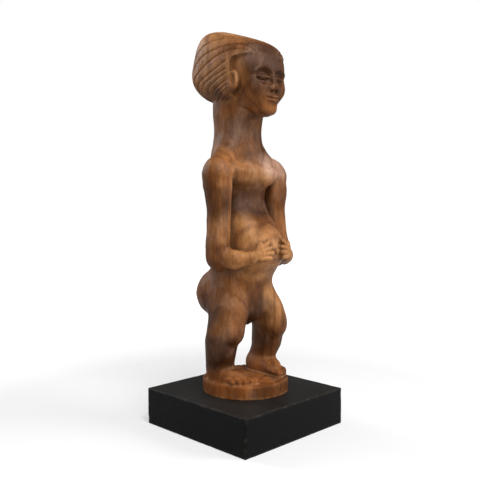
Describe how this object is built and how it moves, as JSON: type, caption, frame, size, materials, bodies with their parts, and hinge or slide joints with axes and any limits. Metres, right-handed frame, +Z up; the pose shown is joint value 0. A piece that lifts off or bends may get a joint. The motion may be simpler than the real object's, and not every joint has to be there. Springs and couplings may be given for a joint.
{
  "type": "standing male figure",
  "caption": "Carved wooden standing male figure, hands on the belly, on a round foot plate fixed to a square black plinth.",
  "frame": {"origin": "centre of the plinth's underside, on the surface that it stands on", "axes": "+Z up, the figure faces -Y, its left hand is on the +X side, the plinth's sides run along X and Y"},
  "size_m": [0.138, 0.138, 0.3912],
  "materials": {
    "carved_wood": "worn reddish brown patina, satin on the high places, dark in the hollows",
    "black_plinth": "black stained and waxed, satin"
  },
  "bodies": {
    "root": {"figure": "carved_wood", "plinth": "black_plinth"}
  },
  "joints": []
}
